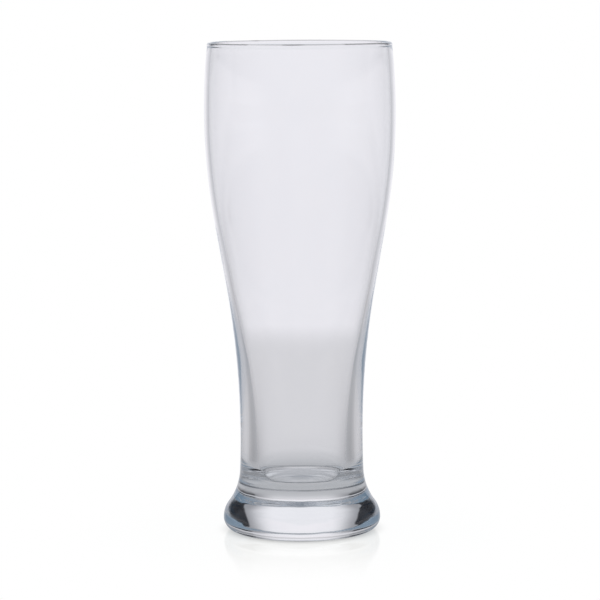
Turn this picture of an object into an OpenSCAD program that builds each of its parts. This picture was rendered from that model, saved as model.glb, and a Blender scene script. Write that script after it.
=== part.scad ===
// Tall waisted wheat beer glass: a thin blown bowl fused onto a solid pressed foot.
// Millimetres, +Z up. The origin is on the glass's axis, in the plane that it stands on.
// Each piece is a half section, drawn with the radius along X and the height along Y,
// which is turned once round the axis. A section is stacked from slabs, each with one
// straight or round side. Slabs lap where two sides meet smoothly, and a hollow side is cut
// a hair deep, so that neighbouring sides cross cleanly and leave no thin step.

/* [Bowl outside] */
// Height of the glass, from the table to the top of the lip
glass_h = 220; // [205:1:240]
// Diameter where the belly is widest
belly_d = 85.6; // [78:0.2:94]
// Height at which the belly is widest
belly_z = 189; // [175:1:200]
// Height at which the bulging belly turns into the drawn-in waist
turn_z = 128; // [100:1:150]
// Length of the straight taper between the belly's curve and the waist's
taper_length = 29; // [5:1:60]
// Diameter where the waist is narrowest
waist_d = 55.2; // [48:0.2:62]
// Height at which the waist is narrowest
waist_z = 43.4; // [34:0.2:60]

/* [Bowl inside] */
// Thickness of the wall over the belly and below the lip
belly_wall = 2.1; // [1.2:0.1:3]
// How far the melted lip swells out beyond the wall on each side
lip_swell = 0.15; // [0.05:0.05:0.6]
// Diameter of the bore, where the inside stands upright between its floor and its taper
bore_d = 41; // [36:0.2:46]
// Height at which the bore stands upright
bore_z = 33; // [30:0.2:40]
// Length of the straight taper inside the bowl
inner_taper_length = 60; // [30:1:75]
// Thickness of the floor of the bowl
floor_t = 2; // [1:0.1:4]
// How far the bore draws in on each side, down to the crisp edge of the floor
floor_inset = 1.8; // [0.6:0.1:4]

/* [Foot] */
// Height of the flat seam where the bowl is fused onto the foot
seam_z = 22.4; // [16:0.2:26]
// Height at which the waist starts to flare out into the foot
flare_z = 27.6; // [25:0.2:32]
// Diameter where the foot is widest
foot_d = 71.2; // [66:0.2:84]
// Radius of the round shoulder above the widest part of the foot
shoulder_r = 11.2; // [8:0.2:14]
// Radius of the round edge below the widest part of the foot
edge_r = 5.7; // [3:0.1:8]
// Diameter of the shallow hollow under the foot
punt_d = 50; // [30:1:54]
// Depth of the shallow hollow under the foot
punt_depth = 2; // [0.5:0.1:4]

/* [Hidden] */

$fn = 256;
lap = 2.5;
hair = 0.003;
glass_tint = [0.87, 0.89, 0.92, 0.4];

belly_r = belly_d / 2;
waist_r = waist_d / 2;
bore_r = bore_d / 2;
foot_r = foot_d / 2;
punt_r = punt_d / 2;

// A side rises upright where it is narrow, leans out along a straight taper and stands upright
// again where it is wide. The arcs below and above the taper have this sum of radii.
function arc_sum(spread, rise, taper) = (spread * spread + rise * rise - taper * taper) / (2 * spread);

// Angle between the straight taper and the axis
function lean(spread, rise, taper) =
    let (sum = arc_sum(spread, rise, taper))
    atan2(rise, sum - spread) - atan2(taper, sum);

// Radius of an arc that falls away by a depth at a distance from where it is tangent
function sagging_arc(depth, distance) = (depth * depth + distance * distance) / (2 * depth);

// The outside of the bowl
outer_rise = belly_z - waist_z;
outer_spread = belly_r - waist_r;
outer_arcs = arc_sum(outer_spread, outer_rise, taper_length);
belly_arc = outer_arcs * (belly_z - turn_z) / outer_rise;
waist_arc = outer_arcs - belly_arc;
outer_lean = lean(outer_spread, outer_rise, taper_length);

// The inside of the bowl, whose belly shares its centre with the outside's
inner_belly_r = belly_r - belly_wall;
inner_rise = belly_z - bore_z;
inner_spread = inner_belly_r - bore_r;
inner_belly_arc = belly_arc - belly_wall;
bore_arc = arc_sum(inner_spread, inner_rise, inner_taper_length) - inner_belly_arc;
inner_lean = lean(inner_spread, inner_rise, inner_taper_length);
floor_z = seam_z + floor_t;
floor_arc = sagging_arc(floor_inset, bore_z - floor_z);

// The lip is a full round, centred in the wall of the belly
lip_r = belly_wall / 2 + lip_swell;
lip_arc = belly_arc - belly_wall / 2;
lip_angle = asin((glass_h - lip_r - belly_z) / lip_arc);
belly_centre = [belly_r - belly_arc, belly_z];

// The flare carries on from the waist's arc and runs smoothly into the round shoulder
flare_angle = asin((waist_z - flare_z) / waist_arc);
flare_normal = [cos(flare_angle), sin(flare_angle)];
flare_start = [waist_r + waist_arc, waist_z] - waist_arc * flare_normal;
shoulder_centre = [foot_r - shoulder_r, edge_r];
reach = shoulder_centre - flare_start;
flare_arc = (reach * reach - shoulder_r * shoulder_r) / (2 * (reach * flare_normal + shoulder_r));
flare_centre = flare_start + flare_arc * flare_normal;
shoulder_top = shoulder_centre
    + (flare_centre - shoulder_centre) * shoulder_r / norm(flare_centre - shoulder_centre);

// Everything from the axis out to a width, between two heights
module slab(width, low, high) {
    translate([0, low])
        square([width, high - low]);
}

// A slab whose side is drawn in by an arc outside it
module hollow_sided_slab(centre, arc, low, high) {
    difference() {
        slab(centre.x, low, high);
        translate(centre)
            circle(arc + hair);
    }
}

// A slab whose side bulges along an arc round a centre inside it
module round_sided_slab(centre, arc, low, high) {
    intersection() {
        slab(centre.x + arc, low, high);
        union() {
            if (centre.x > 0) slab(centre.x, low, high);
            translate(centre)
                circle(arc);
        }
    }
}

// The bowl's side up to the lip, from a height at or below its narrow point. That point and the
// wide one are each a radius and a height.
module bowl_side(low, narrow, narrow_arc, wide, wide_arc, angle) {
    normal = [cos(angle), -sin(angle)];
    along = [sin(angle), cos(angle)];
    narrow_centre = narrow + [narrow_arc, 0];
    wide_centre = wide - [wide_arc, 0];
    taper_low = narrow_centre - narrow_arc * normal;
    taper_high = wide_centre + (wide_arc - hair) * normal;
    taper_foot = taper_low - lap * along;
    hollow_sided_slab(narrow_centre, narrow_arc, low, taper_low.y);
    polygon([[0, taper_foot.y], taper_foot, taper_high, [0, taper_high.y]]);
    round_sided_slab(wide_centre, wide_arc, taper_high.y - lap, glass_h);
}

// Outside of the whole glass, from the table to the lip
module glass_outline() {
    bowl_side(flare_z - lap, [waist_r, waist_z], waist_arc, [belly_r, belly_z], belly_arc, outer_lean);
    hollow_sided_slab(flare_centre, flare_arc + hair, shoulder_top.y, flare_z);
    round_sided_slab(shoulder_centre, shoulder_r, edge_r, shoulder_top.y + lap);
    round_sided_slab([foot_r - edge_r, edge_r], edge_r, 0, edge_r);
}

// Room inside the bowl, from its floor to the lip
module cup() {
    round_sided_slab([bore_r - floor_arc, bore_z], floor_arc, floor_z, bore_z + lap);
    bowl_side(bore_z, [bore_r, bore_z], bore_arc, [inner_belly_r, belly_z], inner_belly_arc, inner_lean);
}

// Everything on the lower side of the line across the wall where the lip's round begins
module below_lip() {
    translate(belly_centre)
        rotate(lip_angle)
            translate([0, -glass_h])
                square([belly_arc + lip_r, glass_h]);
}

module bowl() {
    color(glass_tint)
        rotate_extrude() {
            intersection() {
                difference() {
                    intersection() {
                        glass_outline();
                        slab(belly_d, seam_z, glass_h);
                    }
                    cup();
                }
                below_lip();
            }
            translate(belly_centre + lip_arc * [cos(lip_angle), sin(lip_angle)])
                circle(lip_r);
        }
}

module foot() {
    punt_arc = sagging_arc(punt_depth, punt_r);
    color(glass_tint)
        rotate_extrude()
            difference() {
                intersection() {
                    glass_outline();
                    slab(foot_d, 0, seam_z);
                }
                translate([0, punt_depth - punt_arc])
                    circle(punt_arc);
            }
}

bowl();
foot();
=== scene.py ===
# %% [markdown]
# # A wheat beer glass
#
# The real glass is two pieces of clear glass. The bowl is blown thin, and the foot is pressed
# solid and fused on while both are hot. Neither has any colour of its own, so everything the
# eye sees is the studio, bent by the glass. This lesson makes the two pieces with exact curves,
# gives them a glass that is not quite perfect and paints shade into its creases and lip, and
# then builds the studio that they show.

# %% Load the frame
import math
from collections import namedtuple

import bmesh
import bpy
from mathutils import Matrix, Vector


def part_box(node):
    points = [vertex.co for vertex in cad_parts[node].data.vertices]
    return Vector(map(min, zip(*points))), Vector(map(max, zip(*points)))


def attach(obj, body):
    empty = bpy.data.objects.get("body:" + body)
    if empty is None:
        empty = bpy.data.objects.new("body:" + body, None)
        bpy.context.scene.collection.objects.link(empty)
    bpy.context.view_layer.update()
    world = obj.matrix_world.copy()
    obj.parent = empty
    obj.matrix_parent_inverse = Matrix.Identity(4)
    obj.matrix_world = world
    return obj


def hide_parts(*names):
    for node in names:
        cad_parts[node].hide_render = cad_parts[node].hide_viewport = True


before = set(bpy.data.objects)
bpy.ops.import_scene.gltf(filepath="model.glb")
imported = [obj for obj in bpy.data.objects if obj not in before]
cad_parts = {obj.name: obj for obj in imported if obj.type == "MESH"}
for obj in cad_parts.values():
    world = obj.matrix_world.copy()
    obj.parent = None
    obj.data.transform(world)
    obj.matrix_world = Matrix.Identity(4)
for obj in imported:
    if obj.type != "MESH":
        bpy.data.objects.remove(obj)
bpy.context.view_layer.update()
bowl_low, bowl_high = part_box("bowl")
foot_low, foot_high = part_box("foot")
print("bowl", bowl_low, bowl_high)
print("foot", foot_low, foot_high)

# %% [markdown]
# ## Sizes
#
# The frame gives the sizes that the two pieces share with the rest of the library: the height,
# the belly, the seam and the foot. The others are the curves between those, in metres. A glass
# like this is drawn as one smooth side, so most of its sizes are heights and radii of arcs. The
# frame's circles have corners, so the smaller of two widths is the one to stay inside.

# %% Name the sizes
MM = 0.001

lip_height = bowl_high.z
belly_radius = min(bowl_high.x, bowl_high.y)
seam_height = bowl_low.z
foot_radius = min(foot_high.x, foot_high.y)

belly_height = 189 * MM
turn_height = 128 * MM
taper_length = 29 * MM
waist_radius = 27.6 * MM
waist_height = 43.4 * MM

belly_wall = 2.1 * MM
lip_swell = 0.15 * MM
bore_radius = 20.5 * MM
bore_height = 33 * MM
inner_taper_length = 60 * MM
floor_thickness = 2 * MM
floor_radius = 18.7 * MM

flare_height = 27.6 * MM
shoulder_radius = 11.2 * MM
edge_radius = 5.7 * MM
punt_radius = 25 * MM
punt_depth = 2 * MM
print(f"belly {2 * belly_radius / MM:.1f} mm across, foot {2 * foot_radius / MM:.1f} mm across")

# %% [markdown]
# ## Arcs that meet smoothly
#
# The side could be traced with a few Bezier handles, but a glassmaker's mould is turned from
# arcs that share a tangent where they meet, and refraction shows any kink at once. So the arcs
# are worked out. An arc of the belly and one of the waist, joined by a straight taper, are
# fixed by how far apart they are and how long the taper is.

# %% Work out the arcs
def arc_sum(spread, rise, taper):
    """The two radii together, of a belly and a waist that a straight taper joins."""
    return (spread ** 2 + rise ** 2 - taper ** 2) / (2 * spread)


def lean(spread, rise, taper):
    """The angle between the taper and the upright axis."""
    total = arc_sum(spread, rise, taper)
    return math.atan2(rise, total - spread) - math.atan2(taper, total)


def polar(angle):
    """The direction at an angle from the radius towards the axis's upper end."""
    return Vector((math.cos(angle), math.sin(angle)))


rise = belly_height - waist_height
outer_spread = belly_radius - waist_radius
outer_sum = arc_sum(outer_spread, rise, taper_length)
belly_arc = outer_sum * (belly_height - turn_height) / rise
waist_arc = outer_sum - belly_arc
outer_lean = lean(outer_spread, rise, taper_length)
belly_centre = Vector((belly_radius - belly_arc, belly_height))
waist_centre = Vector((waist_radius + waist_arc, waist_height))

inner_rise = belly_height - bore_height
inner_belly_arc = belly_arc - belly_wall
inner_spread = belly_radius - belly_wall - bore_radius
bore_arc = arc_sum(inner_spread, inner_rise, inner_taper_length) - inner_belly_arc
inner_lean = lean(inner_spread, inner_rise, inner_taper_length)
bore_centre = Vector((bore_radius + bore_arc, bore_height))
floor_height = seam_height + floor_thickness
floor_drop = bore_height - floor_height
floor_inset = bore_radius - floor_radius
corner_arc = (floor_drop ** 2 + floor_inset ** 2) / (2 * floor_inset)
corner_centre = Vector((bore_radius - corner_arc, bore_height))

flare_tilt = math.asin((waist_height - flare_height) / waist_arc)
flare_start = waist_centre - waist_arc * polar(flare_tilt)
shoulder_centre = Vector((foot_radius - shoulder_radius, edge_radius))
reach = shoulder_centre - flare_start
flare_arc = (reach.length_squared - shoulder_radius ** 2) / (
    2 * (reach.dot(polar(flare_tilt)) + shoulder_radius))
flare_centre = flare_start + flare_arc * polar(flare_tilt)
shoulder_tilt = math.atan2(*reversed(flare_centre - shoulder_centre))
seam_tilt = math.asin((flare_centre.y - seam_height) / flare_arc)
print(f"belly arc {belly_arc / MM:.0f} mm, waist arc {waist_arc / MM:.0f} mm, "
      f"flare arc {flare_arc / MM:.1f} mm")

# %% [markdown]
# ## The half section
#
# Each piece is a line of points from the axis, round the section and back to the axis, with the
# radius first and the height second. Long arcs get a point every few millimetres and tight ones
# many more, because a ray that passes through four surfaces shows every flat.

# %% Helpers that place points along an arc or a line
LONG_STEP = 3 * MM
SHORT_STEP = 0.4 * MM
LIP_STEP = 0.2 * MM


def arc(centre, radius, start, end, step):
    """Points along an arc, without its last one."""
    count = max(2, math.ceil(abs(end - start) * radius / step))
    return [centre + radius * polar(start + (end - start) * i / count) for i in range(count)]


def line(start, end, step):
    """Points along a straight line, without its last one."""
    count = max(1, math.ceil((end - start).length / step))
    return [start.lerp(end, i / count) for i in range(count)]


# %% [markdown]
# ## The lip
#
# The lip is cut and then melted by a flame, so it draws itself into a round bead a little
# thicker than the wall. The bead is an arc with a small hollow fillet on each side. It is worked
# out in the wall's own directions, across and along it, and then turned into place.

# %% Draw the lip's bead
FILLET = 3 * MM
bead_radius = belly_wall / 2 + lip_swell
lip_tilt = math.asin((lip_height - bead_radius - belly_height) / (belly_arc - belly_wall / 2))
bead_centre = belly_centre + (belly_arc - belly_wall / 2) * polar(lip_tilt)
fillet_out = belly_wall / 2 + FILLET
fillet_down = math.sqrt((bead_radius + FILLET) ** 2 - fillet_out ** 2)
fillet_tilt = math.atan2(fillet_down, fillet_out)
across = polar(lip_tilt)
along = polar(lip_tilt + math.pi / 2)
outer_fillet = bead_centre + fillet_out * across - fillet_down * along
inner_fillet = bead_centre - fillet_out * across - fillet_down * along
lip = (
    arc(outer_fillet, FILLET, lip_tilt + math.pi, lip_tilt + math.pi - fillet_tilt, LIP_STEP)
    + arc(bead_centre, bead_radius, lip_tilt - fillet_tilt, lip_tilt + math.pi + fillet_tilt,
          LIP_STEP)
    + arc(inner_fillet, FILLET, lip_tilt + fillet_tilt, lip_tilt, LIP_STEP))
outer_lip_tilt = math.asin((lip[0].y - belly_height) / belly_arc)
inner_lip_end = inner_fillet + FILLET * polar(lip_tilt)
inner_lip_tilt = math.asin((inner_lip_end.y - belly_height) / inner_belly_arc)
print(f"lip bead {2 * bead_radius / MM:.2f} mm thick, {len(lip)} points")

# %% [markdown]
# ## The bowl and the foot
#
# The bowl starts on the axis at the seam, runs out to the side, up to the lip and down the
# inside to its floor. Where it was fused on, a fine groove is left round the outside, so the
# side starts a little way up from the seam, and the seam's own edge lies a little deeper.

# %% Draw the bowl's section
GROOVE_DEPTH = 0.12 * MM
GROOVE_TURN = 0.25 * MM / flare_arc
seam_radius = (flare_centre - flare_arc * polar(seam_tilt)).x - GROOVE_DEPTH

seam_face = line(Vector((0, seam_height)), Vector((seam_radius, seam_height)), LONG_STEP)
taper_low = waist_centre - waist_arc * polar(-outer_lean)
taper_high = belly_centre + belly_arc * polar(-outer_lean)
outside = (
    [Vector((seam_radius, seam_height))]
    + arc(flare_centre, flare_arc, math.pi + seam_tilt - GROOVE_TURN, math.pi + flare_tilt,
          SHORT_STEP)
    + arc(waist_centre, waist_arc, math.pi + flare_tilt, math.pi - outer_lean, LONG_STEP)
    + line(taper_low, taper_high, LONG_STEP)
    + arc(belly_centre, belly_arc, -outer_lean, outer_lip_tilt, LONG_STEP))
inner_taper_high = belly_centre + inner_belly_arc * polar(-inner_lean)
inner_taper_low = bore_centre - bore_arc * polar(-inner_lean)
inside = (
    arc(belly_centre, inner_belly_arc, inner_lip_tilt, -inner_lean, LONG_STEP)
    + line(inner_taper_high, inner_taper_low, LONG_STEP)
    + arc(bore_centre, bore_arc, math.pi - inner_lean, math.pi, LONG_STEP)
    + arc(corner_centre, corner_arc, 0, -math.asin(floor_drop / corner_arc), SHORT_STEP)
    + line(Vector((floor_radius, floor_height)), Vector((0, floor_height)), LONG_STEP))
bowl_section = seam_face + outside + lip + inside + [Vector((0, floor_height))]
print(f"bowl section {len(bowl_section)} points")

# %% [markdown]
# The foot starts on the axis in the shallow hollow under it, and runs out over the ring that it
# stands on, round its edge and shoulder and up to the seam. Its seam face stays a hair below the
# bowl's, so that light meets the two in order.

# %% Draw the foot's section
SEAM_GAP = 0.02 * MM

punt_arc = (punt_radius ** 2 + punt_depth ** 2) / (2 * punt_depth)
punt_centre = Vector((0, punt_depth - punt_arc))
edge_centre = Vector((foot_radius - edge_radius, edge_radius))
foot_outside = (
    arc(punt_centre, punt_arc, math.pi / 2, math.acos(punt_radius / punt_arc), LONG_STEP)
    + line(Vector((punt_radius, 0)), Vector((edge_centre.x, 0)), LONG_STEP)
    + arc(edge_centre, edge_radius, -math.pi / 2, 0, SHORT_STEP)
    + arc(shoulder_centre, shoulder_radius, 0, shoulder_tilt, SHORT_STEP)
    + arc(flare_centre, flare_arc, math.pi + shoulder_tilt, math.pi + seam_tilt + GROOVE_TURN,
          SHORT_STEP)
    + [flare_centre - flare_arc * polar(seam_tilt + GROOVE_TURN)])
foot_top = seam_height - SEAM_GAP
foot_seam = line(Vector((seam_radius, foot_top)), Vector((0, foot_top)), LONG_STEP)
foot_section = foot_outside + foot_seam + [Vector((0, foot_top))]
print(f"foot section {len(foot_section)} points")

# %% [markdown]
# ## A small language for nodes
#
# Node trees are clear on the screen and long-winded in code. One class wraps a tree: its `node`
# method adds any node with its settings and its inputs. Another wraps a socket, so that sums
# are written as Python expressions and each operator adds its Math node.

# %% Wrap node trees and sockets
class Wire:
    """An output socket that arithmetic can be done with."""

    def __init__(self, board, socket):
        self.board = board
        self.socket = socket

    def math(self, operation, first, second):
        """Adds a Math node for two values."""
        return self.board.node("ShaderNodeMath", {"operation": operation}, {0: first, 1: second})

    def __add__(self, other):
        return self.math("ADD", self, other)

    def __radd__(self, other):
        return self.math("ADD", other, self)

    def __sub__(self, other):
        return self.math("SUBTRACT", self, other)

    def __rsub__(self, other):
        return self.math("SUBTRACT", other, self)

    def __mul__(self, other):
        return self.math("MULTIPLY", self, other)

    def __rmul__(self, other):
        return self.math("MULTIPLY", other, self)

    def __truediv__(self, other):
        return self.math("DIVIDE", self, other)

    def __rtruediv__(self, other):
        return self.math("DIVIDE", other, self)

    def __gt__(self, other):
        return self.math("GREATER_THAN", self, other)


class Board:
    """A node tree that is being wired."""

    def __init__(self, tree):
        self.tree = tree

    def node(self, kind, settings=None, inputs=None, output=0):
        """Adds a node and returns one of its outputs."""
        made = self.tree.nodes.new(kind)
        for name, value in (settings or {}).items():
            setattr(made, name, value)
        for name, value in (inputs or {}).items():
            if isinstance(value, Wire):
                self.tree.links.new(value.socket, made.inputs[name])
            else:
                made.inputs[name].default_value = value
        return Wire(self, made.outputs[output]) if made.outputs else None

    def beside(self, wire, output):
        """Another output of the node that a wire comes from."""
        return Wire(self, wire.socket.node.outputs[output])


# %% [markdown]
# ## A lathe
#
# A Spin or a Screw modifier would turn the section too. A Geometry Nodes lathe does one thing
# more: it can stir the surface while it turns it. Blown glass is never quite true inside, so
# each point of the section carries how far it may wander, and a slow noise decides where.
# The tree bends a flat grid: the rows follow the section's points and the columns go round.

# %% Build the lathe's tree
SEGMENTS = 384
WELD = 0.002 * MM
ALL_ON_SEAM = 0.99
RIPPLE_DETAIL = 1.0


def build_lathe():
    """The tree that turns a section round the axis and ripples it."""
    tree = bpy.data.node_groups.new("lathe", "GeometryNodeTree")
    face = tree.interface
    face.new_socket("Section", in_out="INPUT", socket_type="NodeSocketGeometry")
    face.new_socket("Segments", in_out="INPUT", socket_type="NodeSocketInt")
    face.new_socket("Ripple scale", in_out="INPUT", socket_type="NodeSocketFloat")
    face.new_socket("Glass", in_out="INPUT", socket_type="NodeSocketMaterial")
    face.new_socket("Seam", in_out="INPUT", socket_type="NodeSocketMaterial")
    face.new_socket("Turned", in_out="OUTPUT", socket_type="NodeSocketGeometry")
    board = Board(tree)
    section = board.node("NodeGroupInput", output="Section")
    segments = board.beside(section, "Segments")
    rows = board.node("GeometryNodeAttributeDomainSize", {"component": "MESH"},
                      {"Geometry": section}, "Point Count")
    grid = board.node("GeometryNodeMeshGrid", {},
                      {"Vertices X": segments + 1, "Vertices Y": rows}, "Mesh")
    index = board.node("GeometryNodeInputIndex")
    row = board.node("ShaderNodeMath", {"operation": "MODULO"}, {0: index, 1: rows})
    column = (index - row) / rows

    def at_row(kind, value):
        """What the section's point in this row holds."""
        settings = {"data_type": kind, "domain": "POINT"}
        return board.node("GeometryNodeSampleIndex", settings,
                          {"Geometry": section, "Value": value, "Index": row}, "Value")

    def stored(name):
        """A number that is kept on each point."""
        return board.node("GeometryNodeInputNamedAttribute", {"data_type": "FLOAT"},
                          {"Name": name}, "Attribute")

    point = at_row("FLOAT_VECTOR", board.node("GeometryNodeInputPosition"))
    radius = board.node("ShaderNodeSeparateXYZ", {}, {0: point})
    height = board.beside(radius, "Z")
    angle = column / segments * math.tau
    cosine = board.node("ShaderNodeMath", {"operation": "COSINE"}, {0: angle})
    sine = board.node("ShaderNodeMath", {"operation": "SINE"}, {0: angle})

    def round_the_axis(distance):
        """The place at a distance from the axis, turned to this column."""
        return board.node("ShaderNodeCombineXYZ", {},
                          {"X": distance * cosine, "Y": distance * sine, "Z": height})

    scale = board.beside(section, "Ripple scale")
    ripple = board.node("ShaderNodeTexNoise", {},
                        {"Vector": round_the_axis(radius), "Scale": scale,
                         "Detail": RIPPLE_DETAIL}, "Fac")
    stirred = radius + at_row("FLOAT", stored("ripple")) * (ripple - 1)
    placed = round_the_axis(stirred)
    turned = board.node("GeometryNodeSetPosition", {}, {"Geometry": grid, "Position": placed})
    seam = at_row("FLOAT", stored("seam"))
    marked = board.node("GeometryNodeStoreNamedAttribute",
                        {"data_type": "FLOAT", "domain": "POINT"},
                        {"Geometry": turned, "Name": "seam", "Value": seam})
    closed = board.node("GeometryNodeMergeByDistance", {},
                        {"Geometry": marked, "Distance": WELD})
    smooth = board.node("GeometryNodeSetShadeSmooth", {}, {"Geometry": closed})
    real = board.node("GeometryNodeRealizeInstances", {}, {"Geometry": smooth})
    glazed = board.node("GeometryNodeSetMaterial", {},
                        {"Geometry": real, "Material": board.beside(section, "Glass")})
    fused = board.node("GeometryNodeSetMaterial", {},
                       {"Geometry": glazed, "Selection": stored("seam") > ALL_ON_SEAM,
                        "Material": board.beside(section, "Seam")})
    board.node("NodeGroupOutput", {}, {"Turned": fused})
    return tree


lathe_tree = build_lathe()
print("lathe tree has", len(lathe_tree.nodes), "nodes")

# %% [markdown]
# ## Helpers for colours
#
# A material that changes from place to place is mostly blends of two colours, each driven by a
# number that goes from nought to one. A Color Ramp does that on the screen. In code a smooth
# Map Range is shorter, because its two ends are plain numbers that can have names. The Mix node
# has sockets for every kind of value under the same names, so its colours go by their number.

# %% Helpers that paint
WHITE = (1.0, 1.0, 1.0, 1.0)
BLACK = (0.0, 0.0, 0.0, 1.0)
FIRST_COLOUR, SECOND_COLOUR, MIXED_COLOUR = 6, 7, 2


def ramp(board, value, low, high):
    """Rises smoothly from nought to one while the value goes from low to high."""
    return board.node("ShaderNodeMapRange", {"interpolation_type": "SMOOTHSTEP"},
                      {"Value": value, "From Min": low, "From Max": high})


def blend(board, factor, first, second):
    """One colour at a factor of nought and the other at one."""
    sockets = {"Factor": factor, FIRST_COLOUR: first, SECOND_COLOUR: second}
    return board.node("ShaderNodeMix", {"data_type": "RGBA"}, sockets, MIXED_COLOUR)


def function(board, operation, *values):
    """A function of the Math node that has no operator of its own."""
    return board.node("ShaderNodeMath", {"operation": operation}, dict(enumerate(values)))


def new_material(name):
    """An empty material, and the board to wire it on."""
    material = bpy.data.materials.new(name)
    material.use_nodes = True
    material.node_tree.nodes.clear()
    return material, Board(material.node_tree)


# %% [markdown]
# ## Clear glass
#
# The Principled shader with full transmission is glass. A perfect one looks like a computer's
# glass, so faint things are added: a slow waviness left by the mould, a trace of haze that
# differs from place to place, painted shade in grey patches on the lip's crest, and a fine line
# of painted shade in each crease, at the edge of the cup's floor and round the fused seam. The
# painted shade stands in for the dark that refraction shows at these edges. A fourth coordinate
# of the noise serves as a seed, and it was chosen so that the lip's patches of painted shade fall
# on its front and sides.
#
# Light that strays into the corners of the thick foot bounces there until it is spent, and what
# comes out has the blue-grey colour of the glass itself. A volume could absorb it, but volumes
# in two touching pieces are slow and leak. So the tracing stops after a fixed number of bounces,
# and where a ray gets so far, the glass glows with a painted blue-grey light from its emission.

# %% Make the glass
IOR = 1.52
BOUNCES = 12
SPENT_RAY_GLOW = (0.085, 0.12, 0.16, 1.0)
PALE = ((0.985, 0.99, 0.995, 1.0), WHITE)
WAVE_SCALE = 45.0
WAVE_DETAIL = 1.0
WAVE_HEIGHT = 0.2 * MM
WAVE = 0.004
CLOUD_SCALE = 90.0
CLOUD_DETAIL = 3.0
HAZE = 0.012
PATCH_SCALE = 40.0
PATCH_DETAIL = 0.0
PATCH_SEED = 37.5
PATCH = (0.48, 0.52)


def make_glass(name, creases):
    """A clear glass with waviness, haze, painted shade in its creases and a painted glow."""
    material, board = new_material(name)
    place = board.node("ShaderNodeTexCoord", output="Object")
    east = board.node("ShaderNodeSeparateXYZ", {}, {0: place})
    north, height = board.beside(east, "Y"), board.beside(east, "Z")
    radius = function(board, "SQRT", east * east + north * north)
    slow = board.node("ShaderNodeTexNoise", {},
                      {"Vector": place, "Scale": WAVE_SCALE, "Detail": WAVE_DETAIL}, "Fac")
    cloud = board.node("ShaderNodeTexNoise", {},
                       {"Vector": place, "Scale": CLOUD_SCALE, "Detail": CLOUD_DETAIL}, "Fac")
    bump = board.node("ShaderNodeBump", {},
                      {"Strength": WAVE, "Distance": WAVE_HEIGHT, "Height": slow})
    shade = blend(board, cloud, *PALE)
    patchy = board.node("ShaderNodeTexNoise", {"noise_dimensions": "4D"},
                        {"Vector": place, "W": PATCH_SEED, "Scale": PATCH_SCALE,
                         "Detail": PATCH_DETAIL}, "Fac")
    paler = ramp(board, patchy, *PATCH)
    # Painted shade: a dark line round each crease, in darker and paler patches.
    for centre, reach, painted_shades in creases:
        out, up = radius - centre.x, height - centre.y
        off = function(board, "SQRT", out * out + up * up)
        shade = blend(board, ramp(board, off, *reach), blend(board, paler, *painted_shades), shade)
    # Painted glow: a ray that reaches the last bounce is given blue-grey emission.
    spent = board.node("ShaderNodeLightPath", output="Ray Depth") > BOUNCES - 1
    surface = board.node("ShaderNodeBsdfPrincipled", {}, {
        "Base Color": shade, "Roughness": HAZE * cloud, "IOR": IOR, "Transmission Weight": 1.0,
        "Normal": bump, "Emission Color": blend(board, spent, BLACK, SPENT_RAY_GLOW),
        "Emission Strength": 1.0})
    board.node("ShaderNodeOutputMaterial", {}, {"Surface": surface})
    return material


# %% [markdown]
# A crease is a circle round the axis, given by its radius and height, with how far its painted
# shade reaches and that shade's darker and paler tones. The lip's crest takes painted shade in
# the same way. Inside the fused seam there is no surface at all: glass meets glass, and light
# goes straight on. So the two hidden faces get a material that is simply transparent.

# %% Mark the creases and mix the materials
CREASE_REACH = (0.25 * MM, 0.55 * MM)
CREASE_PAINTED_SHADE = ((0.26, 0.27, 0.29, 1.0), (0.36, 0.37, 0.39, 1.0))
LIP_REACH = (0.9 * MM, 1.3 * MM)
LIP_PAINTED_SHADE = ((0.2, 0.2, 0.2, 1.0), (0.8, 0.8, 0.8, 1.0))

floor_edge = (Vector((floor_radius, floor_height)), CREASE_REACH, CREASE_PAINTED_SHADE)
seam_edge = (Vector((seam_radius, seam_height)), CREASE_REACH, CREASE_PAINTED_SHADE)
lip_crest = (Vector((bead_centre.x, lip_height)), LIP_REACH, LIP_PAINTED_SHADE)
bowl_glass = make_glass("blown_glass", [floor_edge, seam_edge, lip_crest])
foot_glass = make_glass("pressed_glass", [seam_edge])

fused_seam, board = new_material("fused_seam")
straight_on = board.node("ShaderNodeBsdfTransparent")
board.node("ShaderNodeOutputMaterial", {}, {"Surface": straight_on})
print("materials", [m.name for m in (bowl_glass, foot_glass, fused_seam)])

# %% [markdown]
# ## Turn the two pieces
#
# The section becomes a thin wire of a mesh with two numbers on each point: how far it may wander
# and whether it lies on the fused seam. The lathe turns it, and the result is kept as a plain
# mesh, with the sharp edges marked so that the smooth shading stops there.

# %% Turn a section on the lathe
SHARP_ANGLE = math.radians(35)


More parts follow.
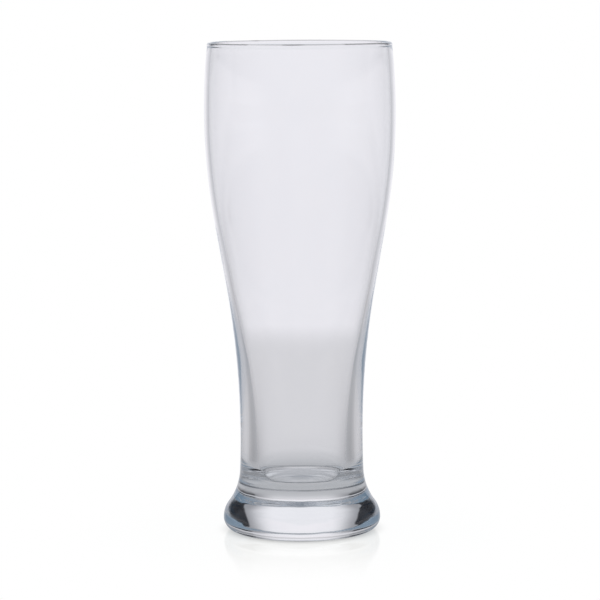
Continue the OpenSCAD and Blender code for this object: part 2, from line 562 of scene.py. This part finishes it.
def turn(name, section, seam_rows, ripples, ripple_scale, glass):
    """A closed piece made by turning a section round the axis."""
    wire = bpy.data.meshes.new(name + "_section")
    edges = [(i, i + 1) for i in range(len(section) - 1)]
    wire.from_pydata([(p.x, 0, p.y) for p in section], edges, [])
    on_seam = wire.attributes.new("seam", "FLOAT", "POINT")
    wander = wire.attributes.new("ripple", "FLOAT", "POINT")
    on_seam.data.foreach_set("value", [float(i in seam_rows) for i in range(len(section))])
    wander.data.foreach_set("value", ripples)
    blank = bpy.data.objects.new(name + "_blank", wire)
    bpy.context.scene.collection.objects.link(blank)
    modifier = blank.modifiers.new("lathe", "NODES")
    modifier.node_group = lathe_tree
    values = {"Segments": SEGMENTS, "Ripple scale": ripple_scale, "Glass": glass,
              "Seam": fused_seam}
    for socket in lathe_tree.interface.items_tree:
        if socket.in_out == "INPUT" and socket.name in values:
            modifier[socket.identifier] = values[socket.name]
    turned = blank.evaluated_get(bpy.context.evaluated_depsgraph_get())
    mesh = bpy.data.meshes.new_from_object(turned)
    mesh.name = name
    bpy.data.objects.remove(blank)
    for spare in [i for i, m in enumerate(mesh.materials) if m is None]:
        mesh.materials.pop(index=spare)
    mesh.set_sharp_from_angle(angle=SHARP_ANGLE)
    piece = bpy.data.objects.new(name, mesh)
    bpy.context.scene.collection.objects.link(piece)
    return piece


# %% [markdown]
# The bowl was blown, so its outside is true to the mould and only its inside wanders. The foot
# was pressed, and its outside is wavier. Every ripple goes inwards, so the pieces keep their
# size, and dies out towards the axis and the seam, so that the poles and the seam stay closed.

# %% Turn the bowl and the foot
BLOWN_RIPPLE = 0.04 * MM
BLOWN_SCALE = 60.0
PRESSED_RIPPLE = 0.25 * MM
PRESSED_SCALE = 100.0
RIPPLE_FADE = 8 * MM

inner_start = len(seam_face) + len(outside) + len(lip)
bowl_ripples = [BLOWN_RIPPLE * min(1, p.x / RIPPLE_FADE) * (i >= inner_start)
                for i, p in enumerate(bowl_section)]
foot_ripples = [PRESSED_RIPPLE * min(1, p.x / RIPPLE_FADE, (foot_top - p.y) / RIPPLE_FADE)
                for p in foot_section]
bowl_seam_rows = range(len(seam_face) + 1)
foot_seam_rows = range(len(foot_outside), len(foot_section))
bowl = turn("blown_bowl", bowl_section, bowl_seam_rows, bowl_ripples, BLOWN_SCALE, bowl_glass)
foot = turn("pressed_foot", foot_section, foot_seam_rows, foot_ripples, PRESSED_SCALE, foot_glass)

# %% [markdown]
# A solid has to be closed, with every edge between exactly two faces. BMesh can count the edges
# that are not, and the volume shows at once if the faces point inwards, because it is negative.

# %% Measure the two pieces
for piece in (bowl, foot):
    solid = bmesh.new()
    solid.from_mesh(piece.data)
    open_edges = sum(not e.is_manifold for e in solid.edges)
    print(piece.name, len(solid.faces), "faces", open_edges, "open edges",
          f"{solid.calc_volume(signed=True) / MM ** 3:.0f} mm3")
    solid.free()

# %% [markdown]
# ## Fasten the pieces
#
# Nothing moves on a glass, so both pieces ride on the root. Each takes the place of the plain
# solid of its name.

# %% Fasten the pieces to the frame
for piece, node, slot in ((bowl, "bowl", "bowl_glass"), (foot, "foot", "foot_glass")):
    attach(piece, "root")
    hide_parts(node)
    print(piece.name, "stands for", node)

# %% [markdown]
# ## The camera
#
# The photograph was taken with a long lens from just above the lip, which is why the lip is a
# thin ellipse while the foot's ring is a fuller one. The ratio of the two ellipses gives the
# camera's height and distance. The picture was not held quite level, so the camera rolls a bit.

# %% Place the camera
CAMERA_DISTANCE = 1.245
CAMERA_HEIGHT = 0.252
AIM_HEIGHT = 0.1043
CAMERA_SIDE = -0.4 * MM
LENS = 167.1
ROLL = math.radians(-0.3)

lens = bpy.data.cameras.new("camera")
lens.lens = LENS
camera = bpy.data.objects.new("camera", lens)
bpy.context.scene.collection.objects.link(camera)
camera.location = (CAMERA_SIDE, -CAMERA_DISTANCE, CAMERA_HEIGHT)
aim = Vector((CAMERA_SIDE, 0, AIM_HEIGHT)) - camera.location
camera.rotation_euler = aim.to_track_quat("-Z", "Y").to_euler()
camera.rotation_euler.rotate_axis("Z", ROLL)
bpy.context.scene.camera = camera
print(f"camera pitch {math.degrees(math.asin(aim.normalized().z)):.2f} degrees")

# %% [markdown]
# ## The studio
#
# Clear glass shows nothing but its surroundings, so the studio is half of the picture. Lamps and
# boards could be placed one by one. Here they are painted on two sheets instead: a round table,
# and a dome over it that only the glass sees. Behind the glass the camera sees plain white,
# which the world gives. To the glass the world has the colour of the backdrop.

# %% Light the world
BACKDROP = (0.89, 0.878, 0.925, 1.0)

world = bpy.data.worlds.new("studio")
bpy.context.scene.world = world
world.use_nodes = True
world.node_tree.nodes.clear()
board = Board(world.node_tree)
seen = board.node("ShaderNodeLightPath", output="Is Camera Ray")
sky = board.node("ShaderNodeBackground", {}, {"Color": blend(board, seen, BACKDROP, WHITE)})
board.node("ShaderNodeOutputWorld", {}, {"Surface": sky})
print("world", len(world.node_tree.nodes), "nodes")

# %% [markdown]
# ## The turntable
#
# To show a glass from all sides, a studio turns the glass and leaves the lamps and the camera
# where they are. The model's frame may not turn, so here the studio goes round it instead. An
# empty on the axis faces the camera, held upright by a Locked Track constraint, and the table
# and the dome hang on it.

# %% Set up the turntable
turntable = bpy.data.objects.new("turntable", None)
bpy.context.scene.collection.objects.link(turntable)
tracking = turntable.constraints.new("LOCKED_TRACK")
tracking.target = camera
tracking.track_axis = "TRACK_NEGATIVE_Y"
tracking.lock_axis = "LOCK_Z"
print(turntable.name, "faces the", tracking.target.name)


def stand(name, points, faces, material):
    """A sheet of the studio, which turns with the turntable."""
    mesh = bpy.data.meshes.new(name)
    mesh.from_pydata(points, [], faces)
    mesh.materials.append(material)
    material.cycles.emission_sampling = "NONE"
    sheet = bpy.data.objects.new(name, mesh)
    bpy.context.scene.collection.objects.link(sheet)
    sheet.parent = turntable
    return sheet


# %% [markdown]
# The sheets are painted by where a point lies from the glass: how far away it is, how far across
# and how far behind, its bearing from straight behind, and how high it stands over the table.

# %% Take bearings from the glass
Bearings = namedtuple("Bearings", "away across depth azimuth elevation")


def bearings(board):
    """Where a point of the studio lies, seen from the foot of the glass."""
    place = board.node("ShaderNodeTexCoord", output="Object")
    away = board.node("ShaderNodeVectorMath", {"operation": "LENGTH"}, {0: place}, "Value")
    side = board.node("ShaderNodeSeparateXYZ", {}, {0: place})
    behind = board.beside(side, "Y")
    azimuth = function(board, "ARCTAN2", function(board, "ABSOLUTE", side), behind)
    elevation = function(board, "ARCSINE", board.beside(side, "Z") / away)
    return Bearings(away, side, behind, azimuth, elevation)


def degrees(low, high):
    """Two angles in degrees, in radians."""
    return math.radians(low), math.radians(high)


# %% [markdown]
# ## Where the backdrop meets the table
#
# A paper backdrop sweeps down into the table without a corner, so the two share one light there.
# It is brightest straight behind the glass and grows a little with the distance. In front of the
# glass is the room, which is dim and bluish.

# %% Light the foot of the backdrop
BACKDROP_FAR = (0.93, 0.918, 0.966, 1.0)
FAR = (1.3, 3.5)
TURN_FAR = degrees(1, 7)
BACKDROP_ASIDE = (0.55, 0.555, 0.59, 1.0)
ROOM = (0.245, 0.268, 0.305, 1.0)
TURN_AHEAD = degrees(110, 150)


def low_light(board, azimuth, depth, turn):
    """The light at the foot of the backdrop, which dims aside over a turn."""
    far = ramp(board, depth, *FAR) * (1 - ramp(board, azimuth, *TURN_FAR))
    middle = blend(board, far, BACKDROP, BACKDROP_FAR)
    behind = blend(board, ramp(board, azimuth, *turn), middle, BACKDROP_ASIDE)
    return blend(board, ramp(board, azimuth, *TURN_AHEAD), behind, ROOM)


# %% [markdown]
# ## The table
#
# The table is white paper under a clear sheet. It glows by itself, because lamps that light it
# evenly would give the same picture with far more noise. It is dimmer near the foot, which keeps
# the light away, dimmest where the foot's sides overhang it, and lighter farther off. Behind the
# glass it sweeps up into the backdrop. The line of the sweep bows round the glass, because the
# round belly bends a straight one, and a bowed one shows in it as level.

# %% Colour the paper
TABLE_NEAR = (0.46, 0.47, 0.495, 1.0)
TABLE_FAR = (0.71, 0.70, 0.73, 1.0)
TABLE_ASIDE = (0.43, 0.435, 0.46, 1.0)
TABLE_AHEAD = (0.66, 0.66, 0.69, 1.0)
SHADE = (0.030, 0.230)
CONTACT = (0.26, 0.27, 0.29, 1.0)
CONTACT_IN = (0.018, 0.024)
CONTACT_OUT = (0.034, 0.042)
TURN_CONTACT = degrees(8, 22)
TURN_TABLE = degrees(36, 56)
TURN_FRONT = degrees(105, 135)
SWEEP = (0.32, 0.49)
SWEEP_BOW = 11.0
TURN_BOW = degrees(22, 40)
TURN_SWEEP = degrees(14, 32)

paper, board = new_material("white_paper")
at = bearings(board)
beyond = ramp(board, at.away, *SHADE)
bow = SWEEP_BOW * (1 - ramp(board, at.azimuth, *TURN_BOW))
sweep = ramp(board, at.depth + bow * at.across * at.across, *SWEEP)
overhung = ramp(board, at.away, *CONTACT_IN) * (1 - ramp(board, at.away, *CONTACT_OUT))
overhung = overhung * ramp(board, at.azimuth, *TURN_CONTACT)
tone = blend(board, overhung, blend(board, beyond, TABLE_NEAR, TABLE_FAR), CONTACT)
# Painted shade: the paper is darker aside, and a little darker ahead of the glass.
tone = blend(board, beyond * ramp(board, at.azimuth, *TURN_TABLE), tone, TABLE_ASIDE)
tone = blend(board, beyond * ramp(board, at.azimuth, *TURN_FRONT), tone, TABLE_AHEAD)
tone = blend(board, sweep, tone, low_light(board, at.azimuth, at.depth, TURN_SWEEP))
glow = board.node("ShaderNodeEmission", {}, {"Color": tone})
print("paper's colour", len(paper.node_tree.nodes), "nodes")

# %% [markdown]
# The clear sheet shines at grazing angles, and most of all close behind the glass, where the
# backdrop's light strikes it flat. Fresnel gives the shine, and Layer Weight the extra polish.

# %% Shine the paper as the glass sees it
TABLE_IOR = 1.45
TABLE_ROUGHNESS = 0.06
POLISH_OUT = (0.066, 0.090)
TURN_POLISH = degrees(20, 40)
FACING = (0.50, 0.95)

near = 1 - ramp(board, at.away, *POLISH_OUT)
polish = near * (1 - ramp(board, at.azimuth, *TURN_POLISH))
facing = board.node("ShaderNodeLayerWeight", output="Facing")
fresnel = board.node("ShaderNodeFresnel", {}, {"IOR": TABLE_IOR})
shine = function(board, "MAXIMUM", fresnel, polish * ramp(board, facing, *FACING))
gloss = board.node("ShaderNodeBsdfGlossy", {}, {"Roughness": TABLE_ROUGHNESS})
unseen = board.node("ShaderNodeMixShader", {}, {"Fac": shine * (1 - sweep), 1: glow, 2: gloss})
print("with its shine", len(paper.node_tree.nodes), "nodes")

# %% [markdown]
# The photograph is exposed so that bare paper comes out pure white. Only a weak mirror image of
# the foot is left on it, which fades with the distance, and a soft shadow close round the ring
# that the glass stands on. The paper's own light gives way by just as much as the mirror image of
# the backdrop adds.

# %% Show the paper to the camera and lay the table
MIRROR = 0.20
MIRROR_FADE = (0.030, 0.115)
MIRROR_ROUGHNESS = 0.08
SHADOW = 0.45
SHADOW_FADE = (0.029, 0.042)
STUDIO_RADIUS = 10.0
TABLE_DROP = 0.05 * MM

mirror = MIRROR * (1 - ramp(board, at.away, *MIRROR_FADE))
rest_of_white = tuple(1 - c for c in BACKDROP[:3]) + (1.0,)
close = 1 - ramp(board, at.away, *SHADOW_FADE)
lit = blend(board, mirror, WHITE, rest_of_white)
lit = blend(board, SHADOW * close * close, lit, BLACK)
plain = board.node("ShaderNodeEmission", {}, {"Color": lit})
sheen = board.node("ShaderNodeBsdfGlossy", {}, {"Color": mirror, "Roughness": MIRROR_ROUGHNESS})
shown = board.node("ShaderNodeAddShader", {}, {0: plain, 1: sheen})
seen = board.node("ShaderNodeLightPath", output="Is Camera Ray")
both = board.node("ShaderNodeMixShader", {}, {"Fac": seen, 1: unseen, 2: shown})
board.node("ShaderNodeOutputMaterial", {}, {"Surface": both})

round_edge = [STUDIO_RADIUS * polar(math.tau * i / SEGMENTS) for i in range(SEGMENTS)]
stand("table", [(p.x, p.y, -TABLE_DROP) for p in round_edge], [range(SEGMENTS)], paper)
print("table", 2 * STUDIO_RADIUS, "m across,", len(paper.node_tree.nodes), "nodes")

# %% [markdown]
# ## The dome
#
# The dome carries what the thick foot bends into view. Straight behind is the lit backdrop,
# which dims towards its edges. A near-black board stands on each side of it and draws the dark
# patches in the foot. The boards lean away from the backdrop, so its lit part widens upwards.
# The rest of the room is dim and bluish.

# %% Colour the backdrop and the boards
BACKDROP_HIGH = (0.84, 0.845, 0.89, 1.0)
RISE_HIGH = degrees(3, 9)
BACKDROP_EDGE = (0.30, 0.305, 0.33, 1.0)
TURN_EDGE = degrees(12, 30)
BOARD_BLACK = (0.010, 0.010, 0.013, 1.0)
TURN_BOARD = degrees(28, 30)
BOARD_LEAN = math.radians(7)
RISE_LEAN = degrees(10, 22)
TURN_ROOM = degrees(50, 68)
RISE_BOARD = degrees(3.5, 5)
TURN_LOW = degrees(4, 38)

cloth, board = new_material("studio_cloth")
at = bearings(board)
back = blend(board, ramp(board, at.elevation, *RISE_HIGH), BACKDROP, BACKDROP_HIGH)
back = blend(board, ramp(board, at.azimuth, *TURN_EDGE), back, BACKDROP_EDGE)
leaning = at.azimuth - BOARD_LEAN * ramp(board, at.elevation, *RISE_LEAN)
walls = blend(board, ramp(board, leaning, *TURN_BOARD), back, BOARD_BLACK)
walls = blend(board, ramp(board, at.azimuth, *TURN_ROOM), walls, ROOM)
low = low_light(board, at.azimuth, 0, TURN_LOW)
walls = blend(board, ramp(board, at.elevation, *RISE_BOARD), low, walls)
print("backdrop and boards", len(cloth.node_tree.nodes), "nodes")

# %% [markdown]
# Above the boards hangs a ring of soft lamps, with a narrow dim gap straight behind the glass,
# which draws the darker lens in the cup's floor. The ring is brighter on the left than on the
# right, dimmer where the camera stands, and starts lower over the backdrop. The ceiling above is
# dark.

# %% Colour the lamps and the ceiling
LAMPS_GAP = (0.345, 0.36, 0.39, 1.0)
LAMPS_LEFT = (0.68, 0.70, 0.75, 1.0)
LAMPS_RIGHT = (0.50, 0.51, 0.55, 1.0)
LAMPS_AHEAD = (0.38, 0.40, 0.45, 1.0)
ACROSS = (-1.5, 1.5)
TURN_CAMERA = degrees(150, 172)
TURN_GAP = degrees(1, 9)
RISE_LAMPS = degrees(25, 29)
LAMPS_LIFT = math.radians(12)
CEILING = (0.17, 0.20, 0.25, 1.0)
RISE_CEILING = degrees(60, 72)

lamps = blend(board, ramp(board, at.across, *ACROSS), LAMPS_LEFT, LAMPS_RIGHT)
lamps = blend(board, ramp(board, at.azimuth, *TURN_CAMERA), lamps, LAMPS_AHEAD)
lamps = blend(board, ramp(board, at.azimuth, *TURN_GAP), LAMPS_GAP, lamps)
lowered = at.elevation - LAMPS_LIFT * ramp(board, at.azimuth, *TURN_BOARD)
upper = blend(board, ramp(board, lowered, *RISE_LAMPS), walls, lamps)
upper = blend(board, ramp(board, at.elevation, *RISE_CEILING), upper, CEILING)
glow = board.node("ShaderNodeEmission", {}, {"Color": upper})
board.node("ShaderNodeOutputMaterial", {}, {"Surface": glow})
print("with lamps and ceiling", len(cloth.node_tree.nodes), "nodes")

# %% [markdown]
# The dome itself is half a ball of rings with a flat lid. It has to be far larger than the
# glass, so that every ray which leaves the glass in one direction meets the same spot.

# %% Raise the dome
DOME_RINGS = 24


def wheel(radius, height):
    """Points round a circle."""
    turns = [math.tau * k / SEGMENTS for k in range(SEGMENTS)]
    return [(radius * math.sin(a), radius * math.cos(a), height) for a in turns]


slopes = [STUDIO_RADIUS * polar(math.pi / 2 * i / DOME_RINGS) for i in range(DOME_RINGS)]
points = sum([wheel(p.x, p.y) for p in slopes], [])
faces = [(i * SEGMENTS + k, i * SEGMENTS + (k + 1) % SEGMENTS,
          (i + 1) * SEGMENTS + (k + 1) % SEGMENTS, (i + 1) * SEGMENTS + k)
         for i in range(DOME_RINGS - 1) for k in range(SEGMENTS)]
faces.append(range((DOME_RINGS - 1) * SEGMENTS, DOME_RINGS * SEGMENTS))
dome = stand("dome", points, faces, cloth)
dome.visible_camera = False
print("dome", len(faces), "faces")

# %% [markdown]
# ## How light is traced
#
# The Standard view keeps white paper white. The bounces stop at the number that the glass's
# material counts to. The faces inside the seam are transparent, which takes steps of its own.

# %% Set how light is traced
TRANSPARENT_STEPS = 32

scene = bpy.context.scene
scene.view_settings.view_transform = "Standard"
scene.cycles.max_bounces = BOUNCES
scene.cycles.transmission_bounces = BOUNCES
scene.cycles.glossy_bounces = BOUNCES
scene.cycles.transparent_max_bounces = TRANSPARENT_STEPS
print("a ray may bounce", BOUNCES, "times")
